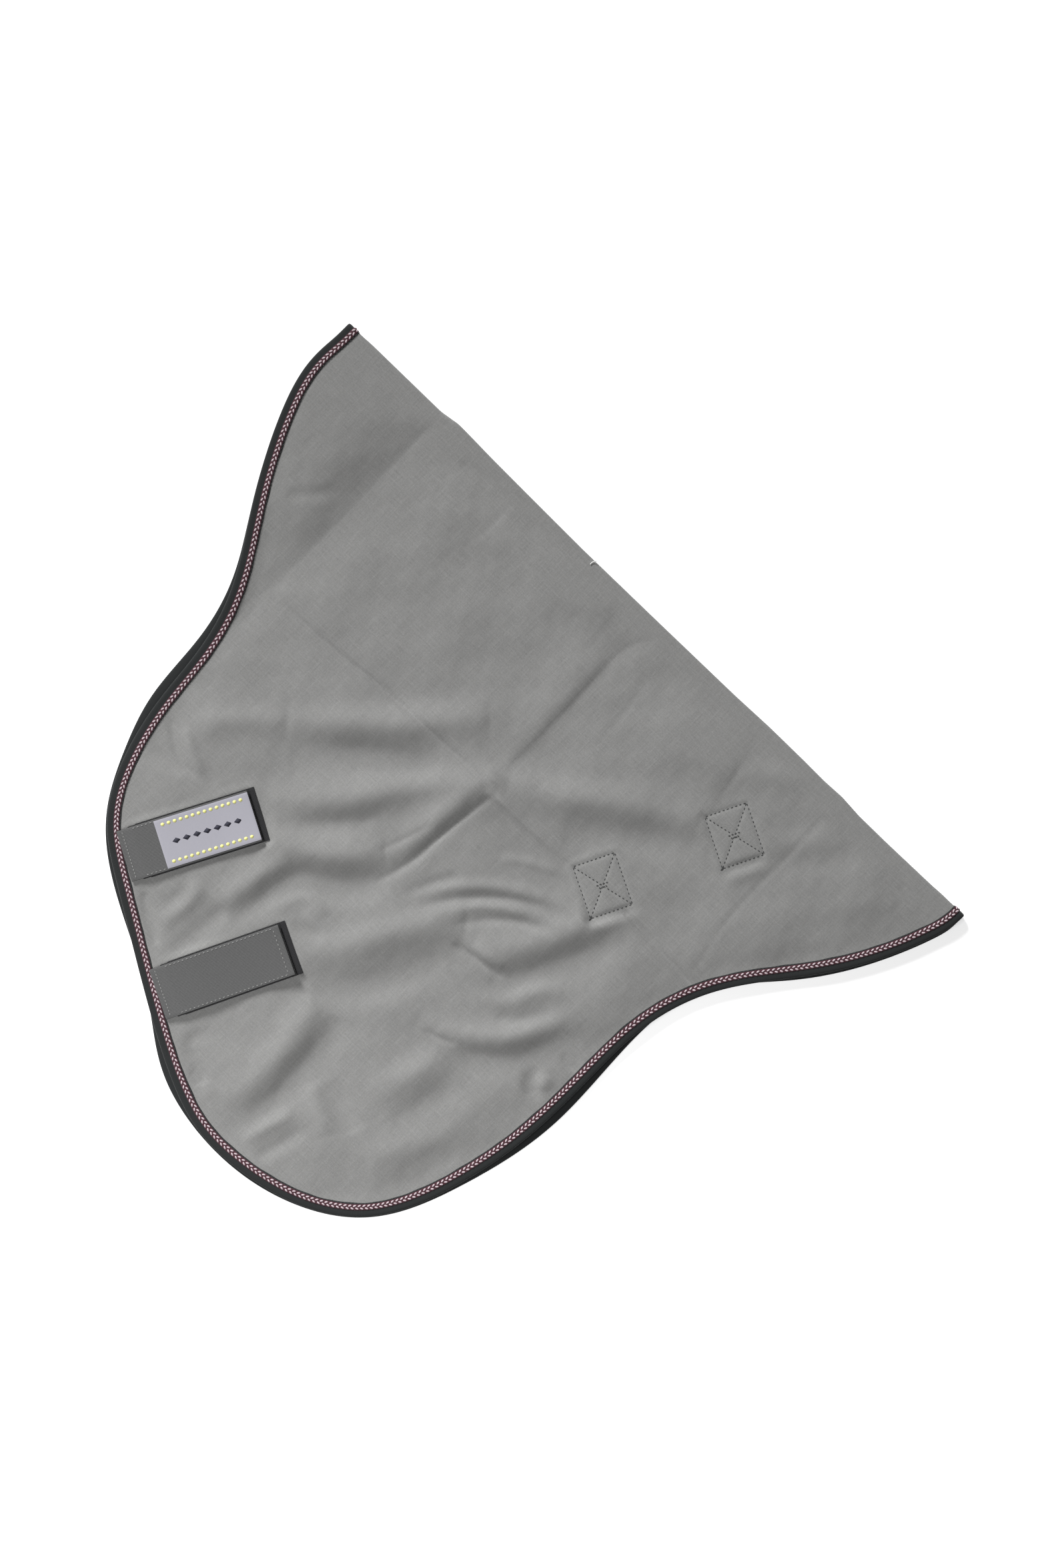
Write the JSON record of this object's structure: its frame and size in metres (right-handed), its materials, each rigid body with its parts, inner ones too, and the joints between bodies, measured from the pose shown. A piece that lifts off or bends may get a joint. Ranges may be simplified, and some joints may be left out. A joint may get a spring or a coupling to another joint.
{
  "type": "fly sheet neck cover",
  "caption": "Neck cover of a horse's fly sheet, folded along its crest: grey ripstop sides, bound and braided edge, throat tabs of hook tape, and straps inside that join it to the rug.",
  "frame": {"origin": "middle of the floor that the folded cover lies on: the centre of its box, at its lowest face", "axes": "+X along the crest from the poll to the withers, +Y from the throat up to the crest, +Z out of the near side's outer face"},
  "size_m": [0.819, 0.6556, 0.0135],
  "materials": {
    "ripstop": "mid-grey ripstop polyester, plain weave with a fine grid, soft satin",
    "binding_tape": "black woven binding tape, matt",
    "braid": "two-row cotton braid, pinkish white with burgundy",
    "webbing": "grey polyester webbing, fine rib",
    "hook_tape": "black hook tape, stiff short hooks",
    "loop_tape": "black loop tape, soft nap",
    "thread": "dark grey polyester thread",
    "woven_label": "woven label, lavender grey with pale yellow dots"
  },
  "bodies": {
    "far_side": {"far_binding": "binding_tape", "far_braid": "braid", "far_lower_loop_strip": "loop_tape", "far_shell": "ripstop", "far_shoulder_hook_pad": "hook_tape", "far_shoulder_loop_pad": "loop_tape", "far_shoulder_stitches": "thread", "far_shoulder_strap": "webbing", "far_upper_loop_strip": "loop_tape", "far_withers_hook_pad": "hook_tape", "far_withers_loop_pad": "loop_tape", "far_withers_stitches": "thread", "far_withers_strap": "webbing"},
    "near_side": {"lower_tab_sewn_end": "webbing", "near_binding": "binding_tape", "near_braid": "braid", "near_lower_loop_strip": "loop_tape", "near_shell": "ripstop", "near_shoulder_hook_pad": "hook_tape", "near_shoulder_loop_pad": "loop_tape", "near_shoulder_stitches": "thread", "near_shoulder_strap": "webbing", "near_upper_loop_strip": "loop_tape", "near_withers_hook_pad": "hook_tape", "near_withers_loop_pad": "loop_tape", "near_withers_stitches": "thread", "near_withers_strap": "webbing", "upper_tab_sewn_end": "webbing"},
    "upper_tab": {"upper_tab_tape": "webbing", "upper_tab_hook_strip": "hook_tape", "upper_tab_label": "woven_label"},
    "lower_tab": {"lower_tab_tape": "webbing", "lower_tab_hook_strip": "hook_tape"}
  },
  "joints": [
    {"name": "crest_fold", "type": "hinge", "parent": "far_side", "child": "near_side", "pos_m": [0, 0.3281, 0.0046], "axis": [-1, 0, 0], "range_deg": [0, 175]},
    {"name": "upper_tab_peel", "type": "hinge", "parent": "near_side", "child": "upper_tab", "pos_m": [-0.20488, -0.17912, 0.013], "axis": [0.8788, -0.4772, 0], "range_deg": [0, 165]},
    {"name": "lower_tab_peel", "type": "hinge", "parent": "near_side", "child": "lower_tab", "pos_m": [-0.09112, -0.251, 0.013], "axis": [0.8949, -0.4462, 0], "range_deg": [0, 165]}
  ]
}
